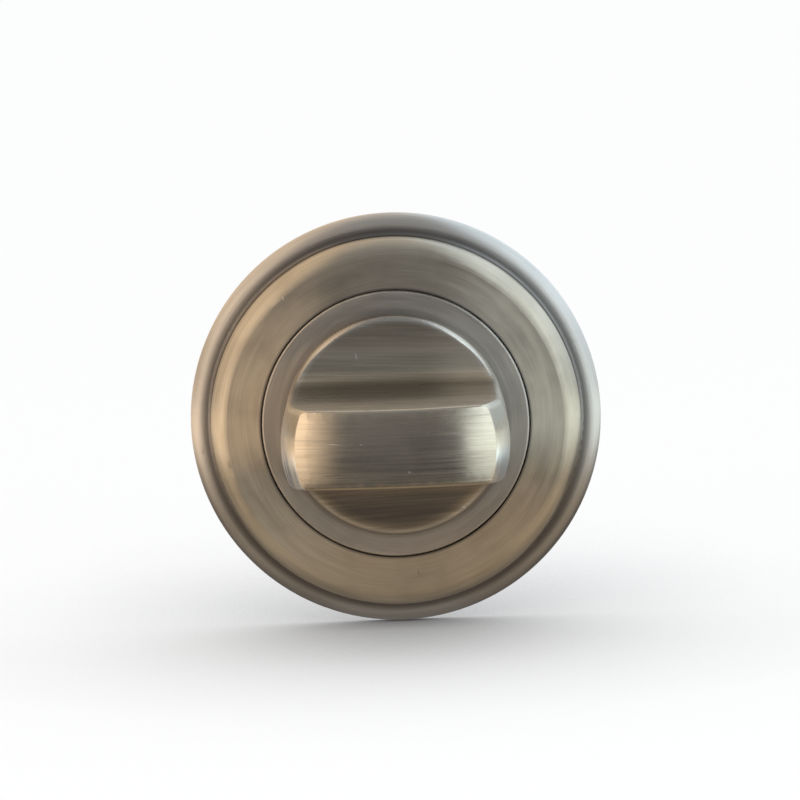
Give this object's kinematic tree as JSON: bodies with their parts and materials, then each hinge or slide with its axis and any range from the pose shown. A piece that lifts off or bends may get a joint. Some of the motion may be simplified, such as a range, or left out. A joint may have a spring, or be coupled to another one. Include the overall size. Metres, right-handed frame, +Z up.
{
  "type": "bathroom thumbturn",
  "caption": "Round stepped rose in antique brass with a scooped knob whose grip bar turns a square spindle through the door, to lock or release a bathroom lock.",
  "frame": {"origin": "centre of the rose on the door's face", "axes": "+Z up on the door, +Y into the door along the turn's axis and the spindle, so the turn faces -Y; +X to the viewer's right"},
  "size_m": [0.052, 0.0877, 0.052],
  "materials": {
    "antique_brass": "brushed and patinated, matt lacquer",
    "die_cast_zinc": "as cast, tumbled",
    "nylon": "moulded",
    "plated_steel": "bright zinc plated",
    "spring_steel": "phosphated and oiled"
  },
  "bodies": {
    "rose": {"outer_rose": "antique_brass", "inner_rose": "antique_brass", "base_plate": "die_cast_zinc", "bush": "nylon", "fixing_screws": "plated_steel"},
    "turn": {"thumbturn": "antique_brass", "spindle": "plated_steel", "spindle_pin": "spring_steel", "stop_washer": "plated_steel", "spring_washer": "spring_steel", "circlip": "spring_steel"}
  },
  "joints": [
    {"name": "thumbturn_turn", "type": "hinge", "parent": "rose", "child": "turn", "pos_m": [0, 0, 0], "axis": [0, 1, 0], "range_deg": [0, 90]}
  ]
}
